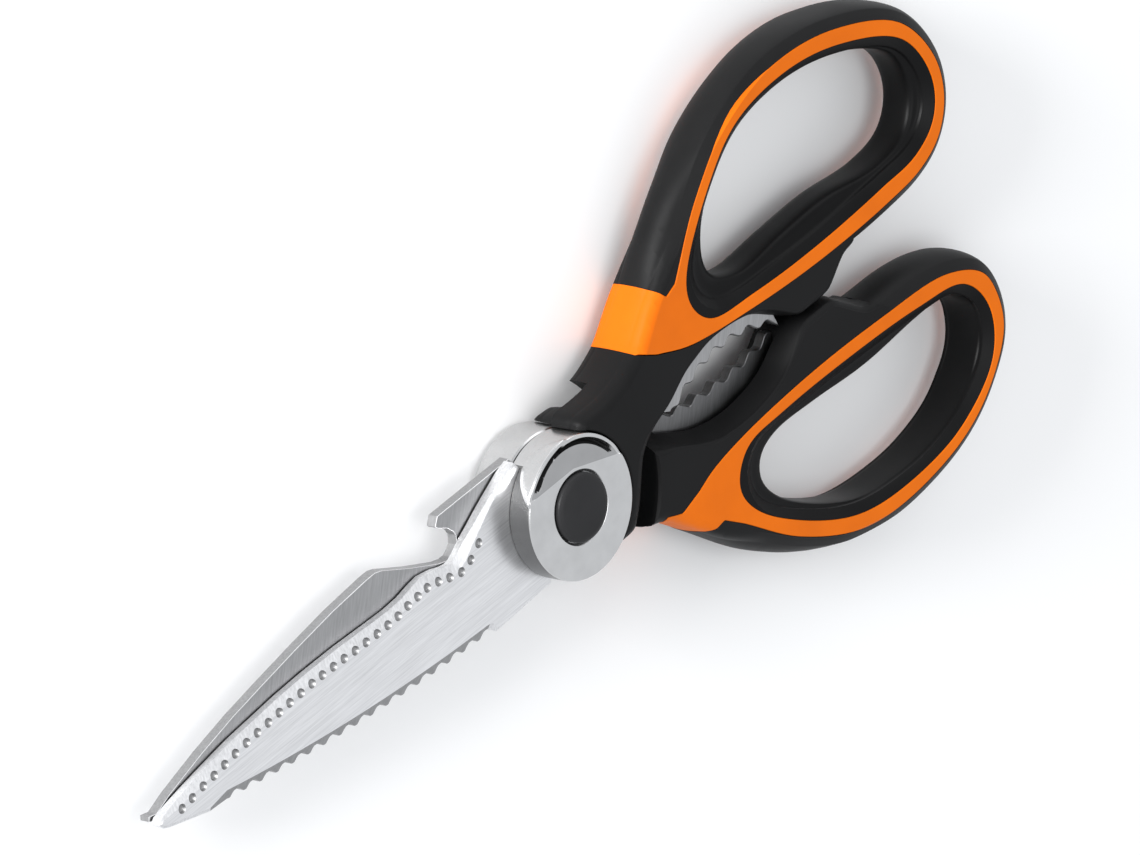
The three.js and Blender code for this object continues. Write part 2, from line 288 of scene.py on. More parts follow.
def turned(profile: list[Point], steps: int = 144) -> BMesh:
    """A solid of revolution about the pivot axis, from (radius, height) points."""
    bm = bmesh.new()
    verts = [bm.verts.new((radius, 0, height)) for radius, height in profile]
    edges = [bm.edges.new(pair) for pair in zip(verts, verts[1:])]
    bmesh.ops.spin(
        bm, geom=verts + edges, cent=(0, 0, 0), axis=(0, 0, 1), dvec=(0, 0, 0), angle=2 * pi, steps=steps,
        use_merge=True, use_normal_flip=False, use_duplicate=False,
    )
    return closed_mesh(bm)


def filleted(corners: list[Triple], steps: int = 4) -> list[Point]:
    """A polyline with rounded corners.

    Args:
        corners: (across, up, how far the rounding reaches along each side).
        steps: Straight steps in each rounding.

    Returns:
        The polyline's points.
    """
    points: list[Point] = []
    for i, (across, up, reach) in enumerate(corners):
        if reach == 0 or i in (0, len(corners) - 1):
            points.append((across, up))
            continue
        corner = Vector((across, up, 0))
        before = Vector((*corners[i - 1][:2], 0))
        after = Vector((*corners[i + 1][:2], 0))
        start = corner + (before - corner).normalized() * reach
        end = corner + (after - corner).normalized() * reach
        arc = interpolate_bezier(start, start.lerp(corner, 0.56), end.lerp(corner, 0.56), end, steps + 1)
        points += [(p.x, p.y) for p in arc]
    return points


def circle(radius: float, count: int = 144) -> Loop:
    """Points of a circle about the pivot axis."""
    return [(radius * cos(2 * pi * k / count), radius * sin(2 * pi * k / count)) for k in range(count)]


@dataclass
class Solid:
    """A working solid in millimetres, in its own half's frame."""

    bm: BMesh
    thing: Object = field(init=False)

    def __post_init__(self) -> None:
        """Turns the mesh being built into an object that modifiers can work on."""
        mesh = bpy.data.meshes.new("solid")
        self.bm.to_mesh(mesh)
        self.bm.free()
        self.thing = placed("solid", mesh)

    def carve(self, tool: "Solid", how: Carve) -> "Solid":
        """Cuts, keeps or joins with another solid.

        Args:
            tool: The other solid.
            how: What it does.

        Returns:
            This solid.
        """
        modifier = self.thing.modifiers.new("carve", "BOOLEAN")
        modifier.operation = how.value
        modifier.solver = "MANIFOLD"
        modifier.object = tool.thing
        ready = self.thing.evaluated_get(bpy.context.evaluated_depsgraph_get())
        mesh = bpy.data.meshes.new_from_object(ready)
        self.thing.modifiers.clear()
        old, self.thing.data = self.thing.data, mesh
        bpy.data.meshes.remove(old)
        tool.discard()
        return self

    @contextmanager
    def opened(self) -> Iterator[BMesh]:
        """The solid's mesh, open for changes that the solid takes on at the end."""
        bm = bmesh.new()
        bm.from_mesh(self.thing.data)
        yield bm
        bm.to_mesh(self.thing.data)
        bm.free()

    def discard(self) -> None:
        """Removes the working object."""
        mesh = self.thing.data
        bpy.data.objects.remove(self.thing)
        bpy.data.meshes.remove(mesh)


def publish(
    solid: Solid, name: str, side: Side, finishes: list[Material], crease: float = 32.0,
) -> Object:
    """Turns a working solid into a finished piece in place of its CAD node.

    Args:
        solid: The solid, in its half's frame.
        name: What the piece is, which is also its node's name after the side.
        side: The half that it rides on.
        finishes: Its materials.
        crease: Edges sharper than this many degrees stay sharp.

    Returns:
        The piece.
    """
    bm = bmesh.new()
    bm.from_mesh(solid.thing.data)
    solid.discard()
    bmesh.ops.remove_doubles(bm, verts=bm.verts, dist=PIECE_WELD)
    bmesh.ops.dissolve_degenerate(bm, edges=bm.edges, dist=SLIVER)
    if side is Side.BACK:
        bmesh.ops.rotate(bm, verts=bm.verts, cent=(0, 0, 0), matrix=Matrix.Rotation(pi, 3, "X"))
    bmesh.ops.translate(bm, verts=bm.verts, vec=(0, 0, MID_PLANE))
    bmesh.ops.scale(bm, verts=bm.verts, vec=(MM, MM, MM))
    node = f"{side.value}_{name}"
    mesh = bpy.data.meshes.new(node)
    bm.to_mesh(mesh)
    bm.free()
    mesh.shade_smooth()
    mesh.set_sharp_from_angle(angle=radians(crease))
    for finish in finishes:
        mesh.materials.append(finish)
    piece = placed(f"{node}_detailed", mesh)
    shading = piece.modifiers.new("even_shading", "WEIGHTED_NORMAL")
    shading.keep_sharp = True
    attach(piece, side.body)
    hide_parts(node)
    LOG.info("%s: %d vertices on %s", piece.name, len(mesh.vertices), side.body)
    return piece


def sort_finishes(piece: Object, side: Side, finish_of: Callable[[Vector, float], int]) -> None:
    """Gives each face of a piece its finish.

    Args:
        piece: The piece.
        side: The half that it is in.
        finish_of: Tells the finish from a face's centre and rise, as the pieces' methods do.
    """
    flip = 1 if side is Side.FRONT else -1
    for face in piece.data.polygons:
        x, y, z = face.center / MM
        centre = Vector((x, y * flip, (z - MID_PLANE) * flip))
        face.material_index = finish_of(centre, face.normal.z * flip)


# ---- finishes
def preset(node: Node, values: dict[str, object]) -> None:
    """Sets a node's inputs by name."""
    for name, value in values.items():
        node.inputs[name].default_value = value


class Bench:
    """A material being made, with short calls for the nodes that these finishes share."""

    def __init__(self, name: str) -> None:
        """Starts a material.

        Args:
            name: Its name.
        """
        self.material = bpy.data.materials.new(name)
        self.material.use_nodes = True
        self.nodes = self.material.node_tree.nodes
        self.shader = self.nodes["Principled BSDF"]

    def join(self, start: NodeSocket, end: NodeSocket) -> None:
        """Links two sockets."""
        self.material.node_tree.links.new(start, end)

    def grain(self, size: Triple, detail: float, turn: float = 0.0) -> NodeSocket:
        """Noise of a given grain.

        Args:
            size: The grain's length along X, Y and Z in millimetres.
            detail: How many finer layers it has.
            turn: Degrees that the grain is turned about Z.

        Returns:
            The noise value.
        """
        place = self.nodes.new("ShaderNodeTexCoord")
        mapping = self.nodes.new("ShaderNodeMapping")
        mapping.vector_type = "TEXTURE"
        preset(mapping, {"Scale": [length * MM for length in size], "Rotation": (0, 0, radians(turn))})
        noise = self.nodes.new("ShaderNodeTexNoise")
        preset(noise, {"Scale": 1.0, "Detail": detail, "Roughness": 0.6})
        self.join(place.outputs["Object"], mapping.inputs["Vector"])
        self.join(mapping.outputs["Vector"], noise.inputs["Vector"])
        return noise.outputs["Fac"]

    def roughened(self, value: NodeSocket, low: float, high: float) -> None:
        """Varies the roughness from low to high with the middle part of a noise."""
        spread = self.nodes.new("ShaderNodeMapRange")
        preset(spread, {"From Min": NOISE_LOW, "From Max": NOISE_HIGH, "To Min": low, "To Max": high})
        self.join(value, spread.inputs["Value"])
        self.join(spread.outputs["Result"], self.shader.inputs["Roughness"])

    def tinted(self, value: NodeSocket, dark: Triple, light: Triple) -> None:
        """Varies the base colour with a value."""
        ramp = self.nodes.new("ShaderNodeValToRGB")
        for end, place, colour in zip(ramp.color_ramp.elements, (NOISE_LOW, NOISE_HIGH), (dark, light)):
            end.position = place
            end.color = (*colour, 1)
        self.join(value, ramp.inputs["Fac"])
        self.join(ramp.outputs["Color"], self.shader.inputs["Base Color"])

    def bumped(self, value: NodeSocket, height: float, strength: float) -> None:
        """Adds relief from a value, on top of any that is already there.

        Args:
            value: The relief.
            height: Its height in millimetres.
            strength: How much of it shows.
        """
        bump = self.nodes.new("ShaderNodeBump")
        preset(bump, {"Strength": strength, "Distance": height * MM})
        self.join(value, bump.inputs["Height"])
        normal = self.shader.inputs["Normal"]
        if normal.is_linked:
            self.join(normal.links[0].from_socket, bump.inputs["Normal"])
        self.join(bump.outputs["Normal"], normal)


@dataclass(frozen=True)
class BrushedSteel:
    """Ground steel with fine brush lines in one direction."""

    name: str
    turn: float
    shade: float = 0.93
    gloss: tuple[float, float] = (0.27, 0.36)
    stroke: tuple[float, float] = (10.0, 0.3)
    relief: float = 0.5

    def material(self) -> Material:
        """Makes the material."""
        bench = Bench(self.name)
        preset(bench.shader, {"Metallic": 1.0})
        lines = bench.grain((self.stroke[0], self.stroke[1], self.stroke[1]), 4, self.turn)
        clouds = bench.grain((14, 7, 7), 2, self.turn)
        dark, light = self.shade * 0.84, min(0.98, self.shade * 1.12)
        bench.tinted(lines, (dark, dark, dark * 1.01), (light, light, light * 1.01))
        bench.roughened(clouds, *self.gloss)
        bench.bumped(lines, 0.02, self.relief)
        return bench.material


@dataclass(frozen=True)
class SatinSteel:
    """Cast steel polished to a soft sheen."""

    name: str
    shade: float = 0.68
    gloss: tuple[float, float] = (0.2, 0.27)

    def material(self) -> Material:
        """Makes the material."""
        bench = Bench(self.name)
        preset(bench.shader, {"Metallic": 1.0})
        fine = bench.grain((0.12, 0.12, 0.12), 3)
        clouds = bench.grain((5, 5, 5), 2)
        bench.tinted(clouds, (self.shade * 0.95,) * 3, (self.shade * 1.04,) * 3)
        bench.roughened(fine, *self.gloss)
        bench.bumped(fine, 0.003, 0.25)
        return bench.material


@dataclass(frozen=True)
class MouldedPlastic:
    """Moulded plastic or rubber with a fine grain."""

    name: str
    dark: Triple
    light: Triple
    gloss: tuple[float, float]
    grain: float
    relief: float
    lustre: float

    def material(self) -> Material:
        """Makes the material."""
        bench = Bench(self.name)
        preset(bench.shader, {"Specular IOR Level": self.lustre})
        fine = bench.grain((self.grain,) * 3, 3)
        clouds = bench.grain((16, 16, 16), 3)
        bench.tinted(clouds, self.dark, self.light)
        bench.roughened(clouds, *self.gloss)
        bench.bumped(fine, self.grain * 0.12, self.relief)
        return bench.material


FACE = BrushedSteel("brushed_steel_face", turn=0.0).material()
GROUND = BrushedSteel(
    "brushed_steel_ground_edge", turn=72.0, shade=0.82, gloss=(0.4, 0.48), stroke=(4.0, 0.4),
).material()
# Darker copy of the brushed steel with painted shade, for the pits, the scaler teeth's facets and the back
# blade's walls.
FACET_PAINTED_SHADE = BrushedSteel(
    "brushed_steel_facets_painted_shade", turn=64.0, shade=0.36, gloss=(0.48, 0.58), stroke=(3.0, 0.4),
).material()
# Darker copy of the brushed steel with painted shade, for the faces that look into the shears and for the
# front tang.
INNER_PAINTED_SHADE = BrushedSteel(
    "brushed_steel_inner_face_painted_shade", turn=58.0, shade=0.42, gloss=(0.28, 0.38), stroke=(6.0, 0.4),
).material()
# Much darker copy of the brushed steel with painted shade, for the back tang.
TANG_PAINTED_SHADE = BrushedSteel(
    "brushed_steel_tang_painted_shade", turn=58.0, shade=0.2, gloss=(0.3, 0.42), stroke=(5.0, 0.4),
).material()
BOSS = SatinSteel("satin_steel_boss").material()
# Darker copy of the boss steel with painted shade, for the sunk crescent.
RECESS_PAINTED_SHADE = SatinSteel("satin_steel_recess_painted_shade", shade=0.46).material()
# Darker copy of the boss steel with painted shade, for the barrel.
BARREL_PAINTED_SHADE = SatinSteel("satin_steel_barrel_painted_shade", shade=0.58, gloss=(0.24, 0.32)).material()
# Dark copy of the boss steel with painted shade, for a stretch of the front boss's wall.
WALL_PAINTED_SHADE = SatinSteel("satin_steel_wall_painted_shade", shade=0.2, gloss=(0.26, 0.36)).material()
# Near-black copy of the boss steel with painted shade, for the groove inside the rim.
GROOVE_PAINTED_SHADE = SatinSteel("steel_groove_painted_shade", shade=0.02, gloss=(0.3, 0.4)).material()
PIVOT = SatinSteel("plain_steel_pivot", shade=0.5, gloss=(0.3, 0.42)).material()
CAP = MouldedPlastic(
    "black_cap_plastic", dark=(0.012, 0.012, 0.013), light=(0.02, 0.02, 0.021), gloss=(0.4, 0.52),
    grain=0.3, relief=0.8, lustre=0.2,
).material()
SHELL = MouldedPlastic(
    "black_shell_plastic", dark=(0.005, 0.005, 0.0052), light=(0.007, 0.007, 0.0073), gloss=(0.46, 0.54),
    grain=0.2, relief=0.1, lustre=0.13,
).material()
GRIP = MouldedPlastic(
    "soft_black_grip_rubber", dark=(0.005, 0.005, 0.0052), light=(0.008, 0.008, 0.0083), gloss=(0.46, 0.54),
    grain=0.18, relief=0.2, lustre=0.15,
).material()
LINER = MouldedPlastic(
    "soft_black_liner_rubber", dark=(0.003, 0.003, 0.0032), light=(0.005, 0.005, 0.0052), gloss=(0.34, 0.42),
    grain=0.18, relief=0.2, lustre=0.1,
).material()
TRIM = MouldedPlastic(
    "orange_soft_rubber", dark=(0.62, 0.122, 0.001), light=(0.7, 0.142, 0.0015), gloss=(0.45, 0.55),
    grain=0.25, relief=0.5, lustre=0.12,
).material()


# ---- handles
@dataclass(frozen=True)
class HandleOutlines:
    """Outlines of one ring handle, in its half's frame."""

    ring: Loop
    hole: Loop
    trim_outer: Loop
    trim_inner: Loop
    band_outside: Loop
    band_tip: Loop
    band_neck: Loop


FRONT_OUTLINES = HandleOutlines(
    ring=[
        (81.8, 5.2), (86, 5.2), (95.9, 5.2), (104.8, 6.2), (111.4, 8.6), (116.8, 13.7), (119.5, 20),
        (119.7, 27.6), (115.3, 37.4), (106.6, 44.3), (96, 48.6), (80.5, 51.2), (66, 48.6), (50, 40.7),
        (40, 32.8), (34, 26.6), (25, 18.6),
    ],
    hole=[
        (50.4, 22.6), (51, 19), (56.8, 15.9), (70, 16.5), (83, 16.7), (97, 14.9), (105.5, 16.8),
        (109.8, 23.5), (108.6, 31.5), (101.5, 37.3), (90, 42), (78, 43.6), (65.7, 40.4), (55.7, 34),
        (51.6, 28),
    ],
    trim_outer=[
        (29.4, 14.9), (38.1, 11.6), (54.8, 9.3), (74.8, 8), (94.8, 8.4), (105, 9.7), (111.7, 13.1),
        (115.8, 19.4), (116.2, 27.6), (110.5, 38.2), (94.8, 46.2), (79.8, 48.7), (64.8, 46.5),
        (49.8, 36.2), (39, 24.5),
    ],
    trim_inner=[
        (42.2, 24.2), (41.1, 18.7), (44.8, 13.3), (54.8, 11.8), (74.8, 11), (94.8, 11.8), (105, 12.7),
        (111.6, 16.6), (114.2, 23.6), (110.4, 34.5), (94.8, 42.9), (79.8, 45.8), (64.8, 43.9),
        (54.8, 37.5),
    ],
    band_outside=[(31.6, 28.6), (21.6, 21.6)],
    band_tip=[(36.1, 23.5), (35, 24.8)],
    band_neck=[(24.7, 17.7)],
)

BACK_OUTLINES = HandleOutlines(
    ring=[
        (82.6, 6.8), (86, 7.2), (95, 7.4), (103, 8.9), (109.4, 11.5), (114.2, 15.5), (116.7, 21.4),
        (116.9, 27.4), (114.6, 34.8), (109, 40.3), (101.8, 44.6), (92.4, 47.6), (79, 48.9),
        (67.7, 47.6), (54, 43.6), (40, 34.8), (30, 25.2), (22.5, 18),
    ],
    hole=[
        (48.2, 24), (49.8, 19.8), (54.5, 17.7), (65, 17.9), (80.3, 19), (96, 17.7), (104.4, 17.7),
        (109.3, 23), (107.9, 30.4), (99.8, 38), (89, 41.4), (79, 41.9), (68.4, 40.5), (56.4, 34.1),
        (50.2, 28.6),
    ],
    trim_outer=[
        (29.8, 15.1), (34.8, 13.3), (44.8, 11.6), (64.8, 10.4), (84.8, 10.8), (103.1, 12.4), (112, 17.2),
        (114, 22.5), (113.2, 30), (105.8, 38.3), (95.4, 43.8), (77.3, 46.5), (64.6, 44.8), (49.8, 37.2),
        (38.1, 27.2),
    ],
    trim_inner=[
        (39.4, 20.3), (44, 14.3), (54.8, 13.1), (74.8, 13.1), (94.8, 14.3), (107, 16.6), (111.4, 24.2),
        (108.6, 33.6), (95.8, 41.5), (77.3, 43.7), (64.6, 41.7), (49.8, 33.5), (41.5, 26),
    ],
    band_outside=[(23.8, 22.4), (18.6, 17.4)],
    band_tip=[(33.6, 23.7), (31.1, 24.1)],
    band_neck=[(20.9, 15.4), (24.4, 16.6)],
)


@dataclass(frozen=True)
class RingHandle:
    """A ring handle with its neck and collar: a rigid core, soft grips and an orange stripe."""

    side: Side
    outlines: HandleOutlines
    half: float = 6.0
    collar_face: float = 7.2
    crease_height: float = 4.6
    chamfer: float = 1.9
    boss_room: float = 14.15
    lap_radius: float = 22.8
    lap: float = 0.15
    spacing: float = 0.9
    seam: float = 0.05
    grip_start: tuple[Point, ...] = ((82, -30), (82, 4.8), (87.5, 10.5))
    back_rounding: float = 0.0
    lens_draft: float = 1.5
    nutcracker: tuple[Point, ...] = ((20, -1.2), (28.2, 3.6), (37, 7.9), (47, 9.1), (57.5, 6.9), (66.3, 0.4))
    stop: tuple[Point, ...] = ((70.0, 0.4), (75.3, 0.4))
    heel: tuple[Point, ...] = ((3, -4), (6.7, -13.5), (12.3, -13.2), (15.2, -9.4), (18.2, -3.9))
    lip: tuple[Point, ...] = ((19.5, 16.2), (14.5, 15.1), (10, 15.05), (6, 15.1), (5, 13))

    def outline(self) -> Loop:
        """The handle's widest outline, from the collar's heel round the ring to its lip."""
        arc = smooth_curve(list(self.nutcracker), closed=False)
        ring = smooth_curve(self.outlines.ring, closed=False)
        return faired(resampled([*self.heel, *arc, *self.stop, *ring, *self.lip], self.spacing), 3)

    def trim_outline(self) -> Loop:
        """The outside of the orange stripe and of the band that joins it."""
        lines = self.outlines
        stripe = smooth_curve(lines.trim_outer, closed=False)
        return [*lines.band_neck, *stripe, *lines.band_tip, *lines.band_outside]

    def trim_hole(self) -> Loop:
        """The inside of the orange stripe."""
        return faired(resampled(smooth_curve(self.outlines.trim_inner, closed=True), self.spacing), 6)

    def blank(self, swell: float = 0.0, lift: float = 0.0, flat_to: float = 90.0) -> Solid:
        """The whole handle in one solid.

        Args:
            swell: How far its walls stand out.
            lift: How far its faces stand up.
            flat_to: How far along the ring its face stays flat, behind the handle stop.

        Returns:
            The solid, before any cut for the pivot.
        """
        outline = self.outline()
        stripe = smooth_curve(self.outlines.trim_outer, closed=True)
        neck = [1 - eased(x, 31, 42) if y > 8 else 1 - eased(x, 18, 26) for x, y in outline]
        lens = [humped(x, (20, 30), (60, 68)) if y < 9.6 else 0.0 for x, y in outline]
        stop = [humped(x, (60, 68), (flat_to, flat_to + 6)) if y < 8 else 0.0 for x, y in outline]
        measures = []
        for point, at_neck, at_lens, at_stop in zip(outline, neck, lens, stop):
            reach = min(4.2, max(2.3, gap_to(point, stripe)))
            weights = (max(0.0, 1 - at_neck - at_lens - at_stop), at_neck, at_lens, at_stop)
            measures.append([sum(weight * size for weight, size in zip(weights, sizes)) for sizes in (
                (reach, 2.9, 1.0, 1.5),
                (max(0.35, reach - self.chamfer), 0.4, 0.4, 0.5),
                (self.crease_height, 3.6, 5.4, 5.1),
                (0.02, 0.62, 0.12, 0.05),
            )])
        shoulder, crease, height, bulge = (evened(list(sizes), 12) for sizes in zip(*measures))
        top = self.half + lift
        rows: list[tuple[Loop, list[float]]] = []
        for part, rise in ((0.0, 0.0), (0.06, 0.3), (0.22, 0.55), (0.5, 0.78), (0.78, 0.91), (0.97, 0.985)):
            draft = [self.lens_draft * at_lens * (1 - rise) for at_lens in lens]
            inset = [swell - c * part + d for c, d in zip(crease, draft)]
            rows.append((grown(outline, inset), [h * rise for h in height]))
        for part in (0.03, 0.08, 0.3, 0.55, 0.8, 0.95, 1.0):
            puff = 4 * part * (1 - part)
            inset = [swell - c - (s - c) * part + b * puff for s, c, b in zip(shoulder, crease, bulge)]
            sag = 0.04 if part == 0.95 else 0.0
            heights = [h + (top - h) * part + b * puff - sag for h, b in zip(height, bulge)]
            rows.append((grown(outline, inset), heights))
        under = [self.back_rounding * humped(x, (34, 50), (70, 94)) if y > 25 else 0.0 for x, y in outline]
        lower = []
        for loop, heights in reversed(rows[1:]):
            inset = [-u * min(1.0, h / self.crease_height) ** 2 for u, h in zip(under, heights)]
            lower.append((grown(loop, inset), [-h for h in heights]))
        body = Solid(lofted(lower + rows))
        body.carve(Solid(self.hole_tool(lift)), Carve.REMOVE)
        return self.raised_neck(body)

    def hole_tool(self, lift: float) -> BMesh:
        """What clears the finger hole, with its lip and the soft slope under it."""
        hole = faired(resampled(smooth_curve(self.outlines.hole, closed=True), self.spacing), 4)
        stripe = self.trim_hole()
        reach = evened([max(1.2, gap_to(point, stripe)) for point in hole], 10)
        ledge = [max(0.12, r - self.chamfer) for r in reach]
        rim = [max(l + 0.3, r) for r, l in zip(reach, ledge)]
        rows: list[tuple[Loop, float]] = [(hole, 0.0)]
        for part, height in (
            (0.0, 1.0), (0.02, 1.9), (0.08, 2.75), (0.19, 3.35), (0.34, 3.68), (0.52, 3.82),
            (0.7, 3.92), (0.85, 4.12), (0.94, 4.4),
        ):
            rows.append((grown(hole, [l * part for l in ledge]), height))
        rows.append((grown(hole, [l - 0.04 for l in ledge]), 4.7))
        rows.append((grown(hole, [l + 0.08 for l in ledge]), 4.84))
        top = self.half + lift
        for part, drop in ((0.5, 0.55), (0.94, 0.05), (1.0, 0.0)):
            rows.append((grown(hole, [l + (r - l) * part for r, l in zip(reach, ledge)]), top - drop))
        rows.append((grown(hole, rim), top + 2))
        lower = [(loop, [-height] * len(hole)) for loop, height in reversed(rows[1:])]
        return lofted(lower + [(loop, [height] * len(hole)) for loop, height in rows])

    def raised_neck(self, body: Solid) -> Solid:
        """Lets the outer face climb from the ring to the collar.

        Args:
            body: The handle, with level faces.

        Returns:
            The same solid, reshaped.
        """
        climb = self.collar_face / self.half - 1
        with body.opened() as bm:
            for x in range(6, 50, 3):
                scored(bm, (x, 0, 0), (1, 0, 0))
            for vert in bm.verts:
                if vert.co.z > 0:
                    vert.co.z *= 1 + climb * (1 - eased(hypot(vert.co.x, vert.co.y), 17, 46))
        return body

    def region(self, loop: Loop) -> Solid:
        """A prism of a region, right through the handle."""
        return Solid(prism(loop, THROUGH))

    def core(self, blade_room: Solid) -> Solid:
        """The rigid black core: neck, collar and handle stop.

        Args:
            blade_room: The room that the blade needs.

        Returns:
            The solid.
        """
        lines = self.outlines
        neck_side = [lines.band_outside[-1], (-5, 32), (-5, -30), *self.grip_start, (60, 12), (34, 18)]
        solid = self.blank().carve(self.region(neck_side), Carve.KEEP)
        solid.carve(self.region(grown(self.trim_outline(), self.seam)), Carve.REMOVE)
        face = self.collar_face
        flare = [(0, -CUT), (0, face - 0.5), (0.12, face - 0.2), (0.5, face + 0.05), (0.5, CUT)]
        solid.carve(Solid(prism(circle(self.boss_room), flare)), Carve.REMOVE)
        lap = [(0.4, -CUT), (0.4, -self.half), (0, -self.half + 0.5), (0, self.lap)]
        solid.carve(Solid(prism(circle(self.lap_radius, 192), lap)), Carve.REMOVE)
        return solid.carve(blade_room, Carve.REMOVE)

    def trim(self) -> Solid:
        """The orange stripe and band, which stand a little proud with soft edges."""
        top = self.half + 0.12
        edge = [(-0.22, top + 1.4), (-0.22, top), (-0.07, top - 0.06), (0, top - 0.22)]
        levels = [(g, -h) for g, h in edge] + [(g, h) for g, h in reversed(edge)]
        solid = self.blank(0.06, 0.12).carve(
            Solid(prism(resampled(self.trim_outline(), 0.6), levels)), Carve.KEEP,
        )
        opened = [(-g, h) for g, h in levels]
        return solid.carve(Solid(prism(self.trim_hole(), opened)), Carve.REMOVE)

    def grip(self) -> Solid:
        """The soft grip round the outside of the ring."""
        start = [(x + self.seam, y) for x, y in reversed(self.grip_start)]
        (ax, ay), (bx, by) = self.outlines.band_outside
        middle = ((ax + bx) / 2, (ay + by) / 2)
        grip_side = [
            (middle[0] - 6, middle[1] + 7), middle, (34, 18), (60, 25), (60, 12), *start,
            (140, -30), (140, 75), (0, 75),
        ]
        solid = self.blank(0.12, flat_to=71.0).carve(self.region(grip_side), Carve.KEEP)
        return solid.carve(self.region(grown(self.trim_outline(), self.seam)), Carve.REMOVE)

    def liner(self) -> Solid:
        """The soft liner round the finger hole."""
        return self.blank().carve(self.region(grown(self.trim_hole(), -self.seam)), Carve.KEEP)

    def build(self, blade_room: Solid) -> None:
        """Builds and dresses the handle's pieces."""
        publish(self.core(blade_room), "handle_core", self.side, [SHELL])
        publish(self.trim(), "orange_trim", self.side, [TRIM])
        publish(self.grip(), "outer_grip", self.side, [GRIP])
        publish(self.liner(), "ring_liner", self.side, [LINER])


# ---- blades
@dataclass(frozen=True)
class Bite:
    """The wavy nutcracker edge of a blade's tang."""

    middle: float
    tip: float
    sag: float
    pitch: float
    depth: float
    crest: float
    first: float = 31.0
    last: float = 63.5

    def edge(self) -> list[Triple]:
        """The edge's (x, y, bevel) points, from the stop end to the neck."""
        points = []
        for k in range(int((self.last - self.first) / (self.pitch / 10))):
            x = self.last - k * self.pitch / 10
            wave = (1 - cos(2 * pi * (x - self.crest) / self.pitch)) / 2
            points.append((x, self.tip - (x - self.middle) ** 2 / self.sag + self.depth * wave, 0.25))
        return points


@dataclass(frozen=True)
class Scaler:
    """The fish-scaler teeth along a blade's spine."""

    first: float = -96.5
    last: float = -28.3
    teeth: int = 17
    gullet: float = 1.2
    bevel: float = 2.0

    def line(self, x: float) -> float:
        """Height of the tooth tips."""
        t = (x - self.first) / (self.last - self.first)
        return -4.5 - 13.39 * t + 5.29 * t * t

    def covers(self, x: float, before: float, after: float) -> bool:
        """Whether the teeth, and so much before and after them, reach a point of the spine."""
        return self.first - before < x < self.last + after

    def edge(self) -> list[Triple]:
        """The teeth's (x, y, bevel) points."""
        pitch = (self.last - self.first) / (self.teeth - 1)
        shape = ((-0.1, 0.06), (-0.05, 0.0), (0.05, 0.0), (0.1, 0.06), (0.24, 0.62), (0.35, 0.92), (0.5, 1.0),
                 (0.65, 0.92), (0.76, 0.62))
        points = []
        for tooth in range(self.teeth):
            for along, depth in shape:
                x = self.first + (tooth + along) * pitch
                points.append((x, self.line(x) + self.gullet * depth, 1.7 - self.gullet * depth * 0.75))
        return points


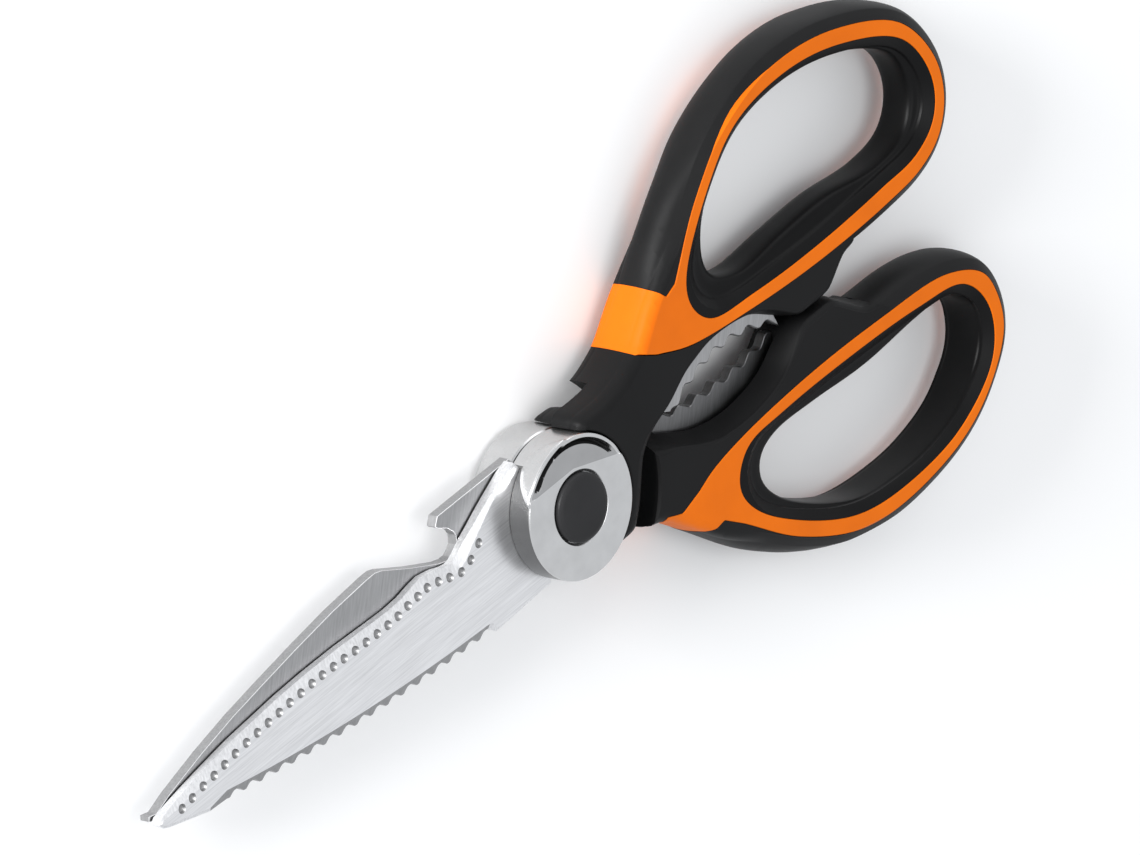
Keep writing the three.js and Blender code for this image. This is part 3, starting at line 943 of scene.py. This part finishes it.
@dataclass(frozen=True)
class Blade:
    """A blade with its tang. Outline points are (x, y, width of the bevel on the outer face)."""

    side: Side
    outline: tuple[Triple, ...]
    bite: Bite
    dimples: tuple[Point, ...] = ()
    thickness: float = 2.5
    lap: float = 0.15
    eye: float = 12.2
    bore: float = 3.3
    edge_thickness: float = 0.55
    washer_seat: float = 8.3
    washer_depth: float = 0.55
    tang_start: float = 15.0
    pit_radius: float = 0.7
    pit_floor: float = 1.8

    def plate(self) -> BMesh:
        """The blade's plate, ground thin towards its bevelled edges."""
        loop = flat(self.outline)
        widths = [width for _, _, width in self.outline]
        land = [min(self.thickness - self.edge_thickness, w * 0.45) for w in widths]
        count = len(loop)
        inner = grown(loop, [-w for w in widths])
        teeth = Scaler()
        for k, (x, y) in enumerate(loop):
            if self.side is Side.FRONT and teeth.covers(x, 1, 1.5) and y < teeth.line(x) + 2:
                inner[k] = (x, teeth.line(x) + teeth.bevel)
        return lofted([
            (grown(loop, -0.08), [self.lap] * count),
            (loop, [self.lap + 0.08] * count),
            (loop, [self.thickness - drop for drop in land]),
            (inner, [self.thickness] * count),
        ])

    def tang_outline(self) -> list[Triple]:
        """The tang's (x, y, bevel) points."""
        return [
            (6, 10, 0.1), (20, 11.5, 0.1), (34, 12, 0.1), (62, 6.9, 0.1), *self.bite.edge(),
            (24, 4.2, 0.1), (19, 0.5, 0.1), (6, -9, 0.1),
        ]

    def tang(self) -> BMesh:
        """The tang with the nutcracker teeth."""
        points = self.tang_outline()
        loop = flat(points)
        low, high = self.lap + 0.02, self.thickness - 0.02
        return lofted([
            (grown(loop, -0.12), [low] * len(loop)),
            (loop, [low + 0.12] * len(loop)),
            (loop, [high - 0.2] * len(loop)),
            (grown(loop, [-w for _, _, w in points]), [high] * len(loop)),
        ])

    def room(self, gap: float) -> Solid:
        """The room that the blade needs inside its boss and handle."""
        body, tang, eye = (
            Solid(prism(loop, [(gap, -1 - 0.01 * k), (gap, self.thickness + gap + 0.01 * k)]))
            for k, loop in enumerate((flat(self.outline), flat(self.tang_outline()), circle(self.eye)))
        )
        return body.carve(tang, Carve.JOIN).carve(eye, Carve.JOIN)

    def build(self) -> None:
        """Builds and dresses the blade."""
        solid = Solid(self.plate())
        solid.carve(Solid(self.tang()), Carve.JOIN)
        levels = [(0, self.lap + 0.03), (0, self.thickness - 0.03)]
        solid.carve(Solid(prism(circle(self.eye), levels)), Carve.JOIN)
        solid.carve(Solid(prism(circle(self.bore, 64), THROUGH)), Carve.REMOVE)
        solid.carve(Solid(prism(circle(self.washer_seat), [(0, -1), (0, self.washer_depth)])), Carve.REMOVE)
        for place in self.dimples:
            wall = ((self.pit_radius, self.pit_floor, 0.3), (self.pit_radius * 1.5, 2.75, 0))
            pit = filleted([(0, self.pit_floor - 0.05, 0), *wall, (0, 2.75, 0)], 3)
            bm = turned(pit, 24)
            bmesh.ops.translate(bm, verts=bm.verts, vec=(*place, 0))
            solid.carve(Solid(bm), Carve.REMOVE)
        with solid.opened() as bm:
            bmesh.ops.remove_doubles(bm, verts=bm.verts, dist=BLADE_WELD)
            bmesh.ops.dissolve_degenerate(bm, edges=bm.edges, dist=BLADE_WELD)
        finishes = [FACE, GROUND, FACET_PAINTED_SHADE, INNER_PAINTED_SHADE, TANG_PAINTED_SHADE]
        piece = publish(solid, "blade", self.side, finishes, crease=20.0)
        sort_finishes(piece, self.side, self.finish_of)

    def finish_of(self, centre: Vector, rise: float) -> int:
        """Which of the blade's finishes a face has.

        Args:
            centre: The face's centre, in the half's frame.
            rise: How much the face looks out of its half.

        Returns:
            The finish.
        """
        front = self.side is Side.FRONT
        # Both tangs get painted shade, the back one darker.
        if centre.x > self.tang_start:
            return BladeFinish.INNER_PAINTED_SHADE if front else BladeFinish.TANG_PAINTED_SHADE
        near = min((hypot(centre.x - x, centre.y - y) for x, y in self.dimples), default=self.thickness)
        pit_wall = near < 1.0 and centre.z < self.thickness - 0.1 and rise < 0.8
        pit_floor = near < self.pit_radius and centre.z < self.pit_floor + 0.06 and rise > 0.5
        # Pits get painted shade.
        if pit_wall or pit_floor:
            return BladeFinish.FACET_PAINTED_SHADE
        if abs(rise) > 0.995:
            # A face that looks into the shears gets painted shade.
            return BladeFinish.FACE if rise > 0 else BladeFinish.INNER_PAINTED_SHADE
        # The back blade's walls get painted shade.
        if not front and abs(rise) < 0.6:
            return BladeFinish.FACET_PAINTED_SHADE
        # The scaler teeth's facets get painted shade.
        on_spine = Scaler().covers(centre.x, 3, 3) and centre.y < Scaler().line(centre.x) + 3.2 < 0
        return BladeFinish.FACET_PAINTED_SHADE if front and on_spine else BladeFinish.GROUND


FRONT_BLADE = Blade(
    side=Side.FRONT,
    outline=(
        (-114.6, 0.9, 0.5), (-113.9, -0.2, 0.5), (-112.3, -0.9, 0.6), (-102, -3.8, 0.7),
        *Scaler().edge(), (-24, -13.1, 0.6), (-19.5, -12.9, 0.4), (-8, -12.3, 0.3), (0, 0, 0.3),
        (-8.2, 13.9, 0.3), (-11, 13.1, 0.4), (-12.8, 12.3, 0.6), (-16, 10.9, 0.9), (-19, 9.5, 1.2),
        (-22, 8, 1.5), (-24.8, 6.7, 1.8), (-27, 5.4, 2), (-28.3, 4.8, 2), (-29.5, 4.6, 2),
        (-31, 4.9, 2), (-33.5, 5.8, 2), (-36.8, 6.4, 2), (-39.5, 6.1, 2), (-42.8, 5.5, 1.9),
        (-47, 5.3, 1.9), (-52, 5.5, 1.9), (-60.7, 5.9, 1.9), (-70, 6, 1.9), (-77.6, 5.8, 1.9),
        (-91.8, 4.9, 1.9), (-100, 3.9, 1.8), (-105, 3.2, 1.6), (-110, 2.4, 1.2), (-113.6, 1.7, 0.6),
    ),
    bite=Bite(middle=48.5, tip=4.1, sag=55, pitch=4.8, depth=1.3, crest=48.9),
    dimples=(
        (-108.4, 0.7), (-105.3, 1.1), (-102, 1.6), (-98.8, 1.9), (-95.6, 2.3), (-92.4, 2.7), (-89.1, 3),
        (-85.9, 3.2), (-82.7, 3.4), (-79.5, 3.6), (-76.4, 3.8), (-73.2, 3.9), (-70, 4), (-67, 4),
        (-63.9, 3.9), (-60.9, 3.8), (-57.8, 3.6), (-54.7, 3.5), (-51.6, 3.4), (-48.5, 3.4),
        (-45.5, 3.5), (-42.5, 3.9), (-39.6, 4.1), (-36.8, 4.3), (-33.8, 3.8), (-30.9, 2.9),
        (-27.9, 2.2), (-24.9, 3), (-21.9, 4.8),
    ),
)

BACK_BLADE = Blade(
    side=Side.BACK,
    outline=(
        *((x, y, 0.3) for x, y in (
            (-114.3, -2.1), (-112.3, -1.6), (-107.9, -3.1), (-97.9, -5.6), (-87.9, -7.6), (-77.9, -9.1),
            (-67.9, -10.5), (-57.9, -11.7), (-47.9, -12.4), (-45.5, -12.4), (-43.9, -11.9), (-37, -8.2),
            (-30.2, -5), (-28.2, -4.4), (-26.9, -4.4), (-25.7, -5), (-24.8, -5.8), (-24.5, -6.6),
            (-24.3, -7.5), (-24.6, -8.5), (-25.7, -9.9), (-28, -11.3), (-28.4, -11.8), (-28.1, -12.3),
            (-27.2, -13.4), (-6.7, -13.3), (0, 0), (-8, 11.5),
        )),
        (-12, 11.1, 1.2), (-20, 9.5, 2.8), (-60, 5.6, 3.0), (-85, 3.2, 2.6), (-100, 1.6, 1.9),
        (-112, 0.1, 0.7), (-114.6, -1.2, 0.4),
    ),
    bite=Bite(middle=49, tip=2.7, sag=130, pitch=5.1, depth=1.3, crest=46.8),
)


# ---- pivot
@dataclass(frozen=True)
class Boss:
    """The round cheek over the pivot, with its black cap."""

    side: Side
    radius: float = 13.85
    face: float = 7.5
    floor: float = 2.62
    lap: float = 0.15
    wall: float = 1.2
    cap_radius: float = 6.6
    cap_seat: float = 6.5
    head_room: float = 5.9
    head_seat: float = 3.6
    bore: float = 3.3
    hood_start: float = 48.0
    hood_end: float = 152.0
    hood_swell: float = 0.45
    hood_slope: float = 0.17
    crest: float = 13.1
    groove: float = 12.0
    chord: float = 7.8
    chord_turn: Triple = (0.307, 0.952, 7.73)
    hood_plane: Triple = (-0.397, 0.786, 0.476)
    hood_reach: float = 13.6
    wall_angles: Point = (118.0, 262.0)
    crescent_start: float = 7.6

    def cheek(self, blade_room: Solid) -> Solid:
        """The steel cheek.

        Args:
            blade_room: The room that the blade needs.

        Returns:
            The solid.
        """
        inner = self.cap_radius + 0.12
        profile = filleted([
            (self.bore, self.head_seat, 0), (self.head_room, self.head_seat, 0),
            (self.head_room, self.cap_seat, 0), (inner, self.cap_seat, 0), (inner, self.face - 0.35, 0),
            (inner + 0.35, self.face, 0.12),
        ])[:-1]
        profile += [(inner + 0.5 + 0.3 * k, self.face) for k in range(19)]
        profile += filleted([
            (self.crest, self.face, 0), (self.radius, self.face, 0.35), (self.radius, 6.6, 0),
        ])
        profile += [(self.radius, height) for height in (6, 5.4, 4.8, 4.2, 3.6, 3, 2.4, 1.6, 0.8)]
        profile += [
            (self.radius, self.lap + 0.3), (self.radius - 0.3, self.lap), (self.radius - self.wall, self.lap),
            (self.radius - self.wall, self.floor), (self.bore, self.floor),
        ]
        solid = Solid(turned([*profile, profile[0]], 216))
        self.hooded(solid)
        return solid.carve(blade_room, Carve.REMOVE)

    def beyond_chord(self, x: float, y: float) -> float:
        """How far a point of the face is past the line where the crescent starts."""
        return max(y - self.chord, self.chord_turn[0] * x + self.chord_turn[1] * y - self.chord_turn[2])

    def hooded(self, solid: Solid) -> None:
        """Sinks a crescent of the face behind a raised rim, on the side of the blade's cutting edge.

        Args:
            solid: The cheek, which is reshaped.
        """
        across, up, reach = self.chord_turn
        plane = Vector(self.hood_plane)
        with solid.opened() as bm:
            scored(bm, (0, self.chord, 0), (0, 1, 0))
            scored(bm, (0, reach / up, 0), (across, up, 0))
            scored(bm, plane * self.hood_reach, plane)
            for vert in bm.verts:
                x, y, z = vert.co
                radius, angle = hypot(x, y), degrees(atan2(y, x))
                under = eased(angle, self.hood_start, self.hood_start + 20)
                under *= 1 - eased(angle, self.hood_end - 4, self.hood_end)
                if radius > self.crest - 0.05 and under > 0:
                    past = max(0.0, plane.dot(vert.co) - self.hood_reach)
                    swell = (self.hood_swell - 0.16 * min(past, 4.0)) * under * eased(past, 0.0, 0.5)
                    vert.co.xy *= (radius + swell) / radius
                past = self.beyond_chord(x, y)
                if z > self.face - 0.5 and radius > self.cap_radius + 0.5 and past > 0:
                    rise = eased(radius, self.groove + 0.5, self.crest - 0.1)
                    dip = eased(radius, self.groove - 0.4, self.groove + 0.4) * eased(past, 0, 2)
                    sunk = (self.hood_slope * past + 0.8 * dip) * (1 - rise)
                    vert.co.z -= sunk + 0.25 * rise * eased(past, 2, 0)

    def finish_of(self, centre: Vector, rise: float) -> int:
        """Which of the cheek's finishes a face has.

        Args:
            centre: The face's centre, in the half's frame.
            rise: How much the face looks out of its half.

        Returns:
            The finish.
        """
        radius, angle = hypot(centre.x, centre.y), degrees(atan2(centre.y, centre.x)) % 360
        past = self.beyond_chord(centre.x, centre.y)
        # The sunk crescent gets painted shade.
        if centre.z > 5 and self.crescent_start < radius < self.crest and past > 0:
            # The groove inside the rim gets near-black painted shade.
            in_groove = self.groove - 0.2 < radius < self.crest - 0.25 and past > 0.8
            return BossFinish.GROOVE_PAINTED_SHADE if in_groove else BossFinish.CRESCENT_PAINTED_SHADE
        below_hood = Vector(self.hood_plane).dot(centre) < self.hood_reach
        low, high = self.wall_angles
        # A stretch of the front boss's wall gets dark painted shade.
        if self.side is Side.FRONT and low < angle < high and below_hood and abs(rise) < 0.5:
            return BossFinish.WALL_PAINTED_SHADE if radius > self.radius - 0.1 else BossFinish.SATIN
        # The barrel gets painted shade.
        on_barrel = radius > self.crest and centre.z < self.face - 0.4
        return BossFinish.BARREL_PAINTED_SHADE if on_barrel else BossFinish.SATIN

    def cap(self) -> Solid:
        """The black cap over the screw."""
        top = MID_PLANE
        profile = filleted([
            (0, self.cap_seat + 0.3, 0), (self.cap_radius, self.cap_seat + 0.3, 0.05),
            (self.cap_radius, top - 0.45, 0.3), (self.cap_radius - 0.9, top, 0.4), (0, top, 0),
        ])
        return Solid(turned(profile))

    def build(self, blade_room: Solid) -> None:
        """Builds and dresses the cheek and its cap."""
        finishes = [BOSS, RECESS_PAINTED_SHADE, WALL_PAINTED_SHADE, GROOVE_PAINTED_SHADE, BARREL_PAINTED_SHADE]
        piece = publish(self.cheek(blade_room), "boss", self.side, finishes)
        sort_finishes(piece, self.side, self.finish_of)
        publish(self.cap(), "cap", self.side, [CAP])


@dataclass(frozen=True)
class PivotHardware:
    """The screw, nut and washers inside the bosses, which keep their CAD shapes."""

    nodes: tuple[str, ...] = ("pivot_screw", "pivot_nut", "blade_washer", "spring_washer")

    def build(self) -> None:
        """Gives each of them its steel."""
        for name in self.nodes:
            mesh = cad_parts[name].data
            mesh.materials.clear()
            mesh.materials.append(PIVOT)
            LOG.info("%s: CAD shape in %s", name, PIVOT.name)


# ---- studio
@dataclass(frozen=True)
class Softbox:
    """A square soft light that looks at the shears."""

    name: str
    place: Triple
    size: float
    power: float

    def build(self, target: Vector) -> None:
        """Hangs the light."""
        lamp = bpy.data.lights.new(self.name, "AREA")
        lamp.shape = "SQUARE"
        lamp.size = self.size
        lamp.energy = self.power
        thing = placed(self.name, lamp)
        thing.location = Vector(self.place)
        thing.rotation_euler = (target - thing.location).to_track_quat("-Z", "Y").to_euler()


@dataclass(frozen=True)
class Studio:
    """A pale floor, soft lights and the camera."""

    right: Triple = (0.6337, -0.2633, 0.7274)
    up: Triple = (0.5160, 0.8443, -0.1440)
    toward: Triple = (-0.5762, 0.4666, 0.6709)
    distance: float = 6.3
    view_width: float = 209.1
    sensor: float = 36.0
    offset: tuple[float, float] = (-2.15, 14.65)
    pivot_height: float = 16.0
    floor_size: float = 6.0
    far_end: float = 60.0
    sky: Triple = (0.95, 0.97, 1.0)
    sky_strength: float = 0.8
    lights: tuple[Softbox, ...] = (
        Softbox("softbox_top", (-0.35, 0.3, 1.6), 1.0, 7.0),
        Softbox("softbox_behind", (1.2, 1.3, 0.7), 0.9, 4.0),
        Softbox("softbox_left", (-1.15, 1.0, 0.27), 0.6, 36.0),
    )

    def floor(self) -> None:
        """Lays the floor."""
        bm = bmesh.new()
        bmesh.ops.create_grid(bm, x_segments=4, y_segments=4, size=self.floor_size / 2)
        mesh = bpy.data.meshes.new("floor")
        bm.to_mesh(mesh)
        bm.free()
        bench = Bench("pale_floor")
        preset(bench.shader, {"Roughness": 0.9, "Specular IOR Level": 0.2})
        bench.tinted(bench.grain((300, 300, 300), 2), (0.86,) * 3, (0.88,) * 3)
        mesh.materials.append(bench.material)
        floor = placed("floor", mesh)

    def camera(self) -> Vector:
        """Sets the camera up.

        Returns:
            The point that it looks at.
        """
        right, up, toward = Vector(self.right), Vector(self.up), Vector(self.toward)
        target = (Vector((0, 0, self.pivot_height)) + right * self.offset[0] + up * self.offset[1]) * MM
        data = bpy.data.cameras.new("camera")
        data.sensor_fit = "HORIZONTAL"
        data.sensor_width = self.sensor
        data.lens = self.sensor * self.distance / (self.view_width * MM)
        data.clip_end = self.far_end
        thing = placed("camera", data)
        turn = Matrix((right, up, toward)).transposed().to_4x4()
        thing.matrix_world = Matrix.Translation(target + toward * self.distance) @ turn
        bpy.context.scene.camera = thing
        return target

    def build(self) -> None:
        """Builds the studio."""
        self.floor()
        target = self.camera()
        for light in self.lights:
            light.build(target)
        world = bpy.data.worlds.new("studio")
        world.use_nodes = True
        preset(world.node_tree.nodes["Background"], {"Color": (*self.sky, 1), "Strength": self.sky_strength})
        bpy.context.scene.world = world
        bpy.context.scene.view_settings.view_transform = "Standard"


def main() -> None:
    """Builds the shears and the studio."""
    logging.basicConfig(level=logging.INFO, format="%(message)s")
    Studio().build()
    for side, blade, outlines in (
        (Side.FRONT, FRONT_BLADE, FRONT_OUTLINES),
        (Side.BACK, BACK_BLADE, BACK_OUTLINES),
    ):
        blade.build()
        Boss(side).build(blade.room(PLAY))
        rounding = HIDDEN_ROUNDING if side is Side.FRONT else 0.0
        RingHandle(side, outlines, back_rounding=rounding).build(blade.room(PLAY))
    PivotHardware().build()


if __name__ == "__main__":
    main()
